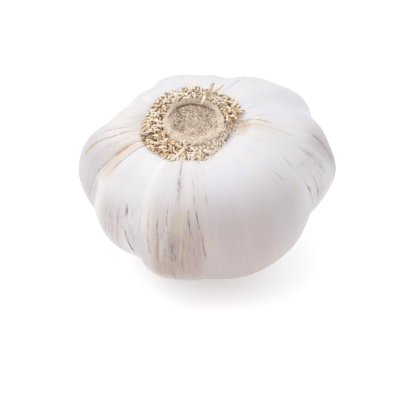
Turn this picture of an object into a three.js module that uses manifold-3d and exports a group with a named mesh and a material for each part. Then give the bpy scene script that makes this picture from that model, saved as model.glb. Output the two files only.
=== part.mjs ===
// A garlic bulb: cloves wrapped in one papery skin, standing on its cut neck with the root end up.
// Millimetres, +Z up. Shapes are drawn about the bulb's own axis, which then leans towards -Y.
// The origin is the middle of the whole object's footprint, on the surface it stands on.
import * as THREE from "three";
import { mergeVertices } from "three/addons/utils/BufferGeometryUtils.js";
import Module from "manifold-3d";

const wasm = await Module();
wasm.setup();
const { degToRad, euclideanModulo, lerp, seededRandom, smoothstep } = THREE.MathUtils;

// Stance.
const LEAN = degToRad(16); // how far the root end tips from the vertical
const REST_DEPTH = 20.9; // from the middle of the bulb down to the level cut through the slanting neck
const CUT_BLOCK = 80; // side of the block that trims the neck, larger than the bulb

// Skin: half outline about the axis, from the edge of the root hollow over the widest part to the neck.
// Each pair is a radius and a height above the middle of the bulb.
const OUTLINE = [
  [8.6, 13.2],
  [11.0, 14.0],
  [15.6, 14.6],
  [22.0, 12.3],
  [27.8, 6.7],
  [30.0, -0.5],
  [27.8, -8.0],
  [21.5, -14.2],
  [14.5, -17.6],
  [10.4, -19.8],
  [8.8, -22.0],
  [8.4, -26.0],
];
const WAIST_RADIUS = 30; // the outline's widest radius, which each clove's reach replaces
const SKIN_AROUND = 96;
const SKIN_ALONG = 30;

// Cloves in order round the axis, counted from +X. Each begins at the crease it shares with the one before.
// start: degrees at the waist; twist: degrees more at the root end;
// crease: depth of that crease; reach: radius of the clove's back at the waist.
const CLOVES = [
  { start: 25, twist: 2, crease: 1.0, reach: 36.4 },
  { start: 65, twist: 0, crease: 0.4, reach: 29.0 },
  { start: 86, twist: 0, crease: 0.1, reach: 28.0 },
  { start: 122, twist: 0, crease: 0.1, reach: 23.6 },
  { start: 152, twist: 0, crease: 0.3, reach: 26.7 },
  { start: 197, twist: 14, crease: 1.6, reach: 25.5 },
  { start: 238, twist: 4, crease: 0.9, reach: 28.6 },
  { start: 276, twist: 0, crease: 0.3, reach: 30.8 },
  { start: 342, twist: -6, crease: 1.4, reach: 33.8 },
];
const ARCH_POWER = 2.1; // how round a clove's back is across
const CREASE_SOFTNESS = 0.5; // how far the taut skin bridges a crease, as a share of the arch
const CREASE_SAG = 0.5; // share of a crease's depth that also shows on the shoulders above and below
const PLEATS = 15; // folds where the skin gathers at the neck
const PLEAT_DEPTH = 0.45;

// Where along the outline each feature comes and goes, from 0 at the root hollow to 1 at the neck.
const UNTWIST = [0.05, 0.5];
const SWELL = { rise: [0, 0.42], fall: [0.55, 0.9] };
const SAG_ABOVE = { rise: [0.08, 0.3], fall: [0.25, 0.5] };
const SAG_BELOW = { rise: [0.55, 0.75], fall: [0.7, 0.95] };
const GATHER = [0.66, 0.84];

// Basal plate: the old stem disc that the roots grew from, a shallow dish with a raised rim.
// Each pair is a radius and a height; the disc is a little longer along Y than across.
const PLATE_SECTION = [
  [0, 13.5],
  [6.9, 13.5],
  [7.2, 14.2],
  [7.15, 15.2],
  [6.75, 15.65],
  [6.2, 15.6],
  [5.4, 15.0],
  [3.4, 14.75],
  [0, 14.85],
];
const PLATE_SIDES = 48;
const CROWN_OVAL = 1.08; // length along Y over width along X, for the plate and the root mat round it

// Roots: a low mat round the plate, with clipped dry rootlets standing out of it in layers.
const MAT_SECTION = [
  [7.6, 13.7],
  [8.6, 13.9],
  [10.4, 14.5],
  [10.5, 14.9],
  [9.6, 15.2],
  [8.2, 15.3],
  [7.6, 15.1],
];
const MAT_SIDES = 40;
// count: rootlets in the layer; from, to: radius of the root and of the tip; base, tip: their heights.
const ROOT_LAYERS = [
  { count: 34, from: 9.5, to: 12.4, base: 14.95, tip: 15.25 },
  { count: 28, from: 9.0, to: 11.3, base: 14.95, tip: 15.75 },
  { count: 20, from: 8.5, to: 9.9, base: 14.9, tip: 16.05 },
];
// Single longer rootlets: azimuth in degrees, then the radius and the height of the tip.
const STRAY_ROOTS = [
  { azimuth: 62, to: 11.6, tip: 18.2 },
  { azimuth: 68, to: 10.9, tip: 18.0 },
  { azimuth: 31, to: 13.9, tip: 15.6 },
  { azimuth: 27, to: 13.6, tip: 15.4 },
  { azimuth: 357, to: 13.6, tip: 15.5 },
  { azimuth: 353, to: 13.2, tip: 15.4 },
  { azimuth: 196, to: 13.1, tip: 15.4 },
];
const ROOT_SEED = 7;
const ROOT_BASE_RADIUS = 0.58;
const ROOT_TIP_RADIUS = 0.46;
const ROOT_SIDES = 4;
const ROOT_STEPS = 2; // straight lengths in one curved rootlet
const REACH_SPREAD = 0.5; // random change of a tip's radius
const RISE_SPREAD = 0.3; // random rise of a tip above its layer
const BEND_SPREAD = 9; // random sideways turn of a tip, in degrees round the axis

// Dry colours.
const SKIN_COLOUR = 0xf1eff0;
const PLATE_COLOUR = 0xa78c72;
const ROOT_COLOUR = 0xdcc79c;

function solidOf(geometry) {
  const bare = geometry.clone();
  bare.deleteAttribute("normal");
  bare.deleteAttribute("uv");
  const merged = mergeVertices(bare);
  const vertProperties = merged.attributes.position.array;
  const triVerts = new Uint32Array(merged.index.array);
  return new wasm.Manifold(new wasm.Mesh({ numProp: 3, vertProperties, triVerts }));
}

function geometryOf(solid) {
  const { vertProperties, triVerts } = solid.getMesh();
  const geometry = new THREE.BufferGeometry();
  geometry.setAttribute("position", new THREE.BufferAttribute(vertProperties, 3));
  geometry.setIndex(new THREE.BufferAttribute(triVerts, 1));
  geometry.computeVertexNormals();
  return geometry;
}

// The largest shell of a solid: hollows sealed between its pieces are filled.
function outerShell(solid) {
  const shells = solid.decompose();
  return shells.reduce((largest, shell) => (shell.volume() > largest.volume() ? shell : largest));
}

// A closed body through rings of points. Each ring turns counter-clockwise about the way from first to last,
// and the first and last are filled in flat.
function bodyThroughRings(rings) {
  const sides = rings[0].length;
  const middleOf = (ring) =>
    ring.reduce((sum, point) => sum.add(point), new THREE.Vector3()).divideScalar(sides);
  const points = [...rings.flat(), middleOf(rings[0]), middleOf(rings.at(-1))];
  const lastRing = (rings.length - 1) * sides;
  const firstMiddle = points.length - 2;
  const lastMiddle = points.length - 1;
  const triangles = [];
  for (let side = 0; side < sides; side += 1) {
    const next = (side + 1) % sides;
    for (let start = 0; start < lastRing; start += sides) {
      triangles.push(start + side, start + next, start + sides + next);
      triangles.push(start + side, start + sides + next, start + sides + side);
    }
    triangles.push(firstMiddle, next, side);
    triangles.push(lastMiddle, lastRing + side, lastRing + next);
  }
  const geometry = new THREE.BufferGeometry().setFromPoints(points);
  geometry.setIndex(triangles);
  return geometry;
}

// A body turned about +Z from a closed section of [radius, height] pairs.
function turned(section, sides) {
  const points = section.map(([radius, height]) => new THREE.Vector2(radius, height));
  return new THREE.LatheGeometry(points, sides).rotateX(Math.PI / 2);
}

function polar(radius, angle, height) {
  return new THREE.Vector3(radius * Math.cos(angle), radius * Math.sin(angle), height);
}

// A feature's strength along the outline: it rises from 0 to 1, then falls back.
function stretch(along, { rise, fall }) {
  return smoothstep(along, ...rise) * (1 - smoothstep(along, ...fall));
}

// Across one clove from crease to crease (share 0 to 1): 0 at its creases, 1 along its back.
function cloveArch(share) {
  const arch = 1 - Math.abs(2 * share - 1) ** ARCH_POWER;
  const bridged = Math.hypot(arch, CREASE_SOFTNESS) - CREASE_SOFTNESS;
  return bridged / (Math.hypot(1, CREASE_SOFTNESS) - CREASE_SOFTNESS);
}

// The clove at an azimuth: how far out the skin stands at the waist, and how deep in a crease it is.
function cloveAt(degrees, along) {
  const twisting = 1 - smoothstep(along, ...UNTWIST);
  const starts = CLOVES.map((clove) => clove.start + clove.twist * twisting);
  const past = starts.map((start) => euclideanModulo(degrees - start, 360));
  const here = past.indexOf(Math.min(...past));
  const next = (here + 1) % CLOVES.length;
  const before = (here + CLOVES.length - 1) % CLOVES.length;
  const share = past[here] / euclideanModulo(starts[next] - starts[here], 360);
  const neighbour = share < 0.5 ? before : next;
  const { crease } = share < 0.5 ? CLOVES[here] : CLOVES[next];
  const { reach } = CLOVES[here];
  const valley = Math.min(reach, CLOVES[neighbour].reach) - crease;
  const arch = cloveArch(share);
  return { reach: lerp(valley, reach, arch), dip: crease * (1 - arch) };
}

const outline = new THREE.SplineCurve(OUTLINE.map(([radius, height]) => new THREE.Vector2(radius, height)));

// A point of the skin: azimuth in degrees, and along from 0 at the root hollow to 1 at the neck.
function skinPoint(degrees, along) {
  const { x: radius, y: height } = outline.getPoint(along);
  const { reach, dip } = cloveAt(degrees, along);
  const angle = degToRad(degrees);
  const swollen = radius * lerp(1, reach / WAIST_RADIUS, stretch(along, SWELL));
  const pleat = PLEAT_DEPTH * Math.sin(PLEATS * angle) * smoothstep(along, ...GATHER);
  const sag = CREASE_SAG * dip * (stretch(along, SAG_ABOVE) - stretch(along, SAG_BELOW));
  return polar(swollen + pleat, angle, height - sag);
}

// The skin-wrapped cloves, leaned over and trimmed level through the neck.
function makeBulb() {
  const rings = [];
  for (let row = SKIN_ALONG; row >= 0; row -= 1) {
    const ring = [];
    for (let side = 0; side < SKIN_AROUND; side += 1) {
      ring.push(skinPoint((360 * side) / SKIN_AROUND, row / SKIN_ALONG));
    }
    rings.push(ring);
  }
  const leaned = solidOf(bodyThroughRings(rings).rotateX(LEAN));
  const block = new THREE.BoxGeometry(CUT_BLOCK, CUT_BLOCK, CUT_BLOCK);
  block.translate(0, 0, -REST_DEPTH - CUT_BLOCK / 2);
  return geometryOf(leaned.subtract(solidOf(block)));
}

function makePlate() {
  return turned(PLATE_SECTION, PLATE_SIDES).scale(1, CROWN_OVAL, 1);
}

// One curved rootlet through points from its root to its clipped tip.
function makeRootlet(path, roll) {
  const curve = new THREE.CatmullRomCurve3(path);
  const frames = curve.computeFrenetFrames(ROOT_STEPS);
  const rings = [];
  for (let step = 0; step <= ROOT_STEPS; step += 1) {
    const centre = curve.getPointAt(step / ROOT_STEPS);
    const radius = lerp(ROOT_BASE_RADIUS, ROOT_TIP_RADIUS, step / ROOT_STEPS);
    const ring = [];
    for (let side = 0; side < ROOT_SIDES; side += 1) {
      const angle = roll + (2 * Math.PI * side) / ROOT_SIDES;
      const corner = centre.clone();
      corner.addScaledVector(frames.normals[step], radius * Math.cos(angle));
      corner.addScaledVector(frames.binormals[step], radius * Math.sin(angle));
      ring.push(corner);
    }
    rings.push(ring);
  }
  return bodyThroughRings(rings);
}

// The path of a rootlet that leaves the mat at an azimuth and curves up and aside to its tip.
function rootPath(azimuth, layer, bend) {
  const angle = degToRad(azimuth);
  const aside = degToRad(bend);
  const middle = (layer.from + layer.to) / 2;
  const crest = Math.max(layer.base, layer.tip) + 0.1;
  return [
    polar(layer.from, angle, layer.base),
    polar(middle, angle + aside * 0.2, crest),
    polar(layer.to, angle + aside, layer.tip),
  ];
}

function makeRoots() {
  const spread = (width) => width * (2 * seededRandom() - 1);
  seededRandom(ROOT_SEED);
  const rootlets = [];
  for (const layer of ROOT_LAYERS) {
    const spacing = 360 / layer.count;
    for (let place = 0; place < layer.count; place += 1) {
      const azimuth = spacing * (place + 0.5) + spread(spacing / 3);
      const to = layer.to + spread(REACH_SPREAD);
      const tip = layer.tip + Math.abs(spread(RISE_SPREAD));
      const path = rootPath(azimuth, { ...layer, to, tip }, spread(BEND_SPREAD));
      rootlets.push(makeRootlet(path, spread(Math.PI)));
    }
  }
  const inner = ROOT_LAYERS.at(-1);
  for (const { azimuth, to, tip } of STRAY_ROOTS) {
    const path = rootPath(azimuth, { ...inner, to, tip }, spread(BEND_SPREAD));
    rootlets.push(makeRootlet(path, spread(Math.PI)));
  }
  const mat = solidOf(turned([...MAT_SECTION, MAT_SECTION[0]], MAT_SIDES));
  const joined = rootlets.reduce((body, rootlet) => body.add(solidOf(rootlet)), mat);
  return geometryOf(outerShell(joined)).scale(1, CROWN_OVAL, 1);
}

function makeMesh(name, geometry, color, roughness) {
  const material = new THREE.MeshStandardMaterial({ color, roughness, metalness: 0 });
  const mesh = new THREE.Mesh(geometry, material);
  mesh.name = name;
  return mesh;
}

const crown = new THREE.Group();
crown.rotation.x = LEAN;
crown.add(makeMesh("basal_plate", makePlate(), PLATE_COLOUR, 0.9));
crown.add(makeMesh("roots", makeRoots(), ROOT_COLOUR, 0.85));

const garlic = new THREE.Group();
garlic.add(makeMesh("bulb", makeBulb(), SKIN_COLOUR, 0.45), crown);

// Stand the footprint's middle on the origin.
garlic.updateMatrixWorld(true);
const bounds = new THREE.Box3().setFromObject(garlic, true);
const middle = bounds.getCenter(new THREE.Vector3());
garlic.position.set(-middle.x, -middle.y, REST_DEPTH);

export default garlic;
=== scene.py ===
import math

import bpy
import numpy as np
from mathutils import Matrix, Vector


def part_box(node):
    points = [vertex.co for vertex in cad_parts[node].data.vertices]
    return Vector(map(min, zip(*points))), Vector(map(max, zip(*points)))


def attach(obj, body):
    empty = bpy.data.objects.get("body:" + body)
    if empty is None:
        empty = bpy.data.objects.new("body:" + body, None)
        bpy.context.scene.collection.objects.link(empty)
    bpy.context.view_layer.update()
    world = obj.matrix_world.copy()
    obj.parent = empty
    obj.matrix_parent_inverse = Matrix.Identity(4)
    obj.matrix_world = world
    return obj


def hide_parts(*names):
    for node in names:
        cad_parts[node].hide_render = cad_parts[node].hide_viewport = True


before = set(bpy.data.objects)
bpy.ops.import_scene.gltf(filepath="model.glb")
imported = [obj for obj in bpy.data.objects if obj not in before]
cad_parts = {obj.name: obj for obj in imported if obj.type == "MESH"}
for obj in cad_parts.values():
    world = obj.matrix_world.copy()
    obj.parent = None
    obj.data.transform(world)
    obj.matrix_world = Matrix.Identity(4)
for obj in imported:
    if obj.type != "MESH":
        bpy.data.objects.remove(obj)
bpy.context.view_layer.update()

MM = 0.001
SEED = 20
rng = np.random.default_rng(SEED)

# ---- form of the bulb, as in the CAD part
LEAN = math.radians(16)
REST_DEPTH = 20.9
OUTLINE = np.array([
    (8.6, 13.2), (11.0, 14.0), (15.6, 14.6), (22.0, 12.3), (27.8, 6.7), (30.0, -0.5),
    (27.8, -8.0), (21.5, -14.2), (14.5, -17.6), (10.4, -19.8), (8.8, -22.0), (8.4, -26.0),
])
OUTLINE_LENGTH = 75.0
WAIST_RADIUS = 30.0
# start: degrees at the waist, twist: degrees more at the root, crease: depth, reach: radius of the back
CLOVES = np.array([
    (25, 2, 1.0, 36.4),
    (65, 0, 0.4, 29.0),
    (86, 0, 0.1, 28.0),
    (122, 0, 0.1, 23.6),
    (152, 0, 0.3, 26.7),
    (197, 14, 1.6, 25.5),
    (238, 4, 0.9, 28.6),
    (276, 0, 0.3, 30.8),
    (342, -6, 1.4, 33.8),
])
ARCH_POWER = 2.1
CREASE_SOFTNESS = 0.5
CREASE_SAG = 0.5
PLEATS = 15
PLEAT_DEPTH = 0.45
UNTWIST = (0.05, 0.5)
SWELL = ((0.0, 0.42), (0.55, 0.9))
SAG_ABOVE = ((0.08, 0.3), (0.25, 0.5))
SAG_BELOW = ((0.55, 0.75), (0.7, 0.95))
GATHER = (0.66, 0.84)
CROWN_OVAL = 1.08


def smoothstep(x, low, high):
    share = np.clip((x - low) / (high - low), 0, 1)
    return share * share * (3 - 2 * share)


def stretch(along, rise, fall):
    """A feature's strength along the outline: it rises from 0 to 1, then falls back."""
    return smoothstep(along, *rise) * (1 - smoothstep(along, *fall))


def spline(points, share):
    """Uniform Catmull-Rom curve through points, at shares from 0 to 1."""
    last = len(points) - 1
    place = np.clip(share, 0, 1) * last
    at = np.minimum(place.astype(int), last - 1)
    w = (place - at)[..., None]
    p0, p1 = points[np.maximum(at - 1, 0)], points[at]
    p2, p3 = points[at + 1], points[np.minimum(at + 2, last)]
    curve = 2 * p1 + (p2 - p0) * w + (2 * p0 - 5 * p1 + 4 * p2 - p3) * w ** 2
    return 0.5 * (curve + (3 * p1 - p0 - 3 * p2 + p3) * w ** 3)


def clove_at(degrees, along):
    """How far out the skin stands at the waist, and how deep in a crease it is."""
    start, twist, crease, reach = CLOVES.T
    count = len(CLOVES)
    starts = start + twist * (1 - smoothstep(along, *UNTWIST))[..., None]
    past = (degrees[..., None] - starts) % 360
    here = past.argmin(-1)
    following = (here + 1) % count

    def take(table, index):
        return np.take_along_axis(table, index[..., None], -1)[..., 0]

    share = take(past, here) / ((take(starts, following) - take(starts, here)) % 360)
    neighbour = np.where(share < 0.5, (here - 1) % count, following)
    depth = np.where(share < 0.5, crease[here], crease[following])
    arch = 1 - np.abs(2 * share - 1) ** ARCH_POWER
    peak = math.hypot(1, CREASE_SOFTNESS) - CREASE_SOFTNESS
    arch = (np.hypot(arch, CREASE_SOFTNESS) - CREASE_SOFTNESS) / peak
    valley = np.minimum(reach[here], reach[neighbour]) - depth
    return valley + (reach[here] - valley) * arch, depth * (1 - arch)


def polar(radius, angle, height):
    return np.stack(np.broadcast_arrays(radius * np.cos(angle), radius * np.sin(angle), height), -1)


def skin_form(degrees, along):
    """The smooth skin: azimuth in degrees, and along from 0 at the root hollow to 1 at the neck."""
    radius, height = np.moveaxis(spline(OUTLINE, along), -1, 0)
    reach, dip = clove_at(degrees, along)
    angle = np.radians(degrees)
    swollen = radius * (1 + (reach / WAIST_RADIUS - 1) * stretch(along, *SWELL))
    pleat = PLEAT_DEPTH * np.sin(PLEATS * angle) * smoothstep(along, *GATHER)
    sag = CREASE_SAG * dip * (stretch(along, *SAG_ABOVE) - stretch(along, *SAG_BELOW))
    return polar(swollen + pleat, angle, height - sag)


def leaned(points):
    x, y, z = np.moveaxis(points, -1, 0)
    cos, sin = math.cos(LEAN), math.sin(LEAN)
    return np.stack([x, y * cos - z * sin, y * sin + z * cos], -1)


def stance_shift():
    """From the leaned bulb, still about its own middle, to its place in the frame, in millimetres."""
    degrees, along = np.meshgrid(np.arange(0, 360, 1.0), np.linspace(0, 1, 200))
    points = leaned(skin_form(degrees, along)).reshape(-1, 3)
    points = points[points[:, 2] > -REST_DEPTH]
    middle = (points.min(0) + points.max(0)) / 2
    low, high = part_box("bulb")
    cad_middle = (low + high) / 2 / MM
    return np.array([cad_middle.x - middle[0], cad_middle.y - middle[1], REST_DEPTH])


SHIFT = stance_shift()


def placed(points):
    """Millimetres about the bulb's axis to metres in the frame."""
    return (leaned(points) + SHIFT) * MM


# ---- helpers for meshes
LATTICE = rng.permutation(256)
GRADIENTS = rng.normal(size=(256, 3))
GRADIENTS /= np.linalg.norm(GRADIENTS, axis=1)[:, None]
NOISE_GAIN = 1.6


def noise(points):
    """Smooth noise of about -1 to 1 at an array of 3-D points."""
    cell = np.floor(points).astype(int)
    local = points - cell
    fade = local ** 3 * (local * (local * 6 - 15) + 10)
    total = 0.0
    for corner in np.ndindex(2, 2, 2):
        offset = np.array(corner)
        x, y, z = np.moveaxis((cell + offset) & 255, -1, 0)
        key = LATTICE[(x + LATTICE[(y + LATTICE[z]) & 255]) & 255]
        weight = np.prod(np.where(offset, fade, 1 - fade), -1)
        total = total + weight * (GRADIENTS[key] * (local - offset)).sum(-1)
    return total * NOISE_GAIN


def rough(points, layers):
    """Noises added up. Each layer has its height, its scale and the shift of its pattern."""
    return sum(height * noise(points * scale + shift) for height, scale, shift in layers)


def make_mesh(name, points, faces, attributes):
    """A mesh object from points in metres; attributes maps a name to one number or vector for each point."""
    mesh = bpy.data.meshes.new(name)
    mesh.from_pydata(points.reshape(-1, 3).tolist(), [], faces)
    for label, values in attributes.items():
        kind, field = ("FLOAT_VECTOR", "vector") if values.ndim > 1 else ("FLOAT", "value")
        layer = mesh.attributes.new(label, kind, "POINT")
        layer.data.foreach_set(field, values.ravel().astype(np.float32))
    mesh.shade_smooth()
    mesh.validate()
    obj = bpy.data.objects.new(name, mesh)
    bpy.context.scene.collection.objects.link(obj)
    return obj


def grid_faces(rows, columns, first=0):
    """Quads of a grid that closes on itself across its columns; rows run away from the outward side's top."""
    row, column = np.meshgrid(np.arange(rows - 1) * columns, np.arange(columns), indexing="ij")
    beside = (column + 1) % columns
    corners = [row + column, row + columns + column, row + columns + beside, row + beside]
    return (np.stack(corners, -1).reshape(-1, 4) + first).tolist()


def fan_faces(first, columns, middle, flip=False):
    """Triangles from one closed row of points to a single middle point."""
    here = first + np.arange(columns)
    beside = first + (np.arange(columns) + 1) % columns
    middles = np.full(columns, middle)
    return np.stack((here, middles, beside) if flip else (here, beside, middles), -1).tolist()


def closed_faces(rows, columns, first=0):
    """Faces of a grid closed across its columns, drawn in at each end to one of the two points after it."""
    count = rows * columns
    faces = grid_faces(rows, columns, first)
    faces += fan_faces(first, columns, first + count)
    return faces + fan_faces(first + count - columns, columns, first + count + 1, flip=True)


def add_piece(obj, material, replaces):
    obj.data.materials.append(material)
    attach(obj, "root")
    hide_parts(replaces)


# ---- helpers for node trees
class Graph:
    """Writes the node tree of a material or a world. Inputs are sockets or plain values."""

    def __init__(self, owner):
        self.owner = owner
        owner.use_nodes = True
        self.tree = owner.node_tree

    def put(self, socket, value):
        if isinstance(value, bpy.types.NodeSocket):
            self.tree.links.new(value, socket)
        elif value is not None:
            socket.default_value = value

    def fill(self, node, values):
        for name, value in values.items():
            self.put(node.inputs[name], value)

    def node(self, kind, *inputs, output=0, named=None, **settings):
        """An output of a new node, whose inputs are given in their order or by name."""
        made = self.tree.nodes.new(kind)
        for key, value in settings.items():
            setattr(made, key, value)
        for socket, value in zip(made.inputs, inputs):
            self.put(socket, value)
        self.fill(made, named or {})
        return made.outputs[output]

    def attribute(self, name, output="Fac"):
        return self.node("ShaderNodeAttribute", attribute_name=name, output=output)

    def math(self, operation, *inputs):
        return self.node("ShaderNodeMath", *inputs, operation=operation)

    def times(self, first, second):
        return self.math("MULTIPLY", first, second)

    def noise(self, vector, scale, detail=2.0, roughness=0.5):
        """Noise whose scale is one number, or a tuple with one for each axis."""
        scales = scale if isinstance(scale, tuple) else (scale, scale, scale)
        place = self.node("ShaderNodeVectorMath", vector, scales, operation="MULTIPLY")
        inputs = {"Vector": place, "Scale": 1.0, "Detail": detail, "Roughness": roughness}
        return self.node("ShaderNodeTexNoise", output="Fac", named=inputs)

    def ramp(self, value, low, high, to_low=0.0, to_high=1.0):
        ends = (low, high, to_low, to_high)
        return self.node("ShaderNodeMapRange", value, *ends, interpolation_type="SMOOTHSTEP")

    def mix(self, share, first, second):
        inputs = {"Factor": share, "A": first, "B": second}
        return self.node("ShaderNodeMix", output="Result", named=inputs, data_type="RGBA")

    def bump(self, height, distance, strength=1.0, normal=None):
        inputs = {"Strength": strength, "Distance": distance, "Height": height, "Normal": normal}
        return self.node("ShaderNodeBump", output="Normal", named=inputs)

    def finish(self, colour, roughness, normal=None, **plain):
        """The material, with its shader's inputs filled; plain ones have one value all over."""
        shader = self.tree.nodes["Principled BSDF"]
        self.fill(shader, {"Base Color": colour, "Roughness": roughness, "Normal": normal})
        self.fill(shader, {name.replace("_", " "): value for name, value in plain.items()})
        return self.owner


def material_graph(name):
    return Graph(bpy.data.materials.new(name))


def rgb(red, green, blue):
    """A linear colour from display values of 0 to 255."""
    linear = [((c / 255 + 0.055) / 1.055) ** 2.4 if c > 10 else c / 255 / 12.92 for c in (red, green, blue)]
    return (*linear, 1.0)


# ---- skin
MARK_MARGIN = 5.2  # degrees between the edges of two marks in one layer
STAIN_AZIMUTH = 263
HOLLOW_EDGE = 0.012  # place along the outline where the shade under the root crown ends
SKIN_AROUND = 460
SKIN_ROWS = 186
NECK_ROWS = 26

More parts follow.
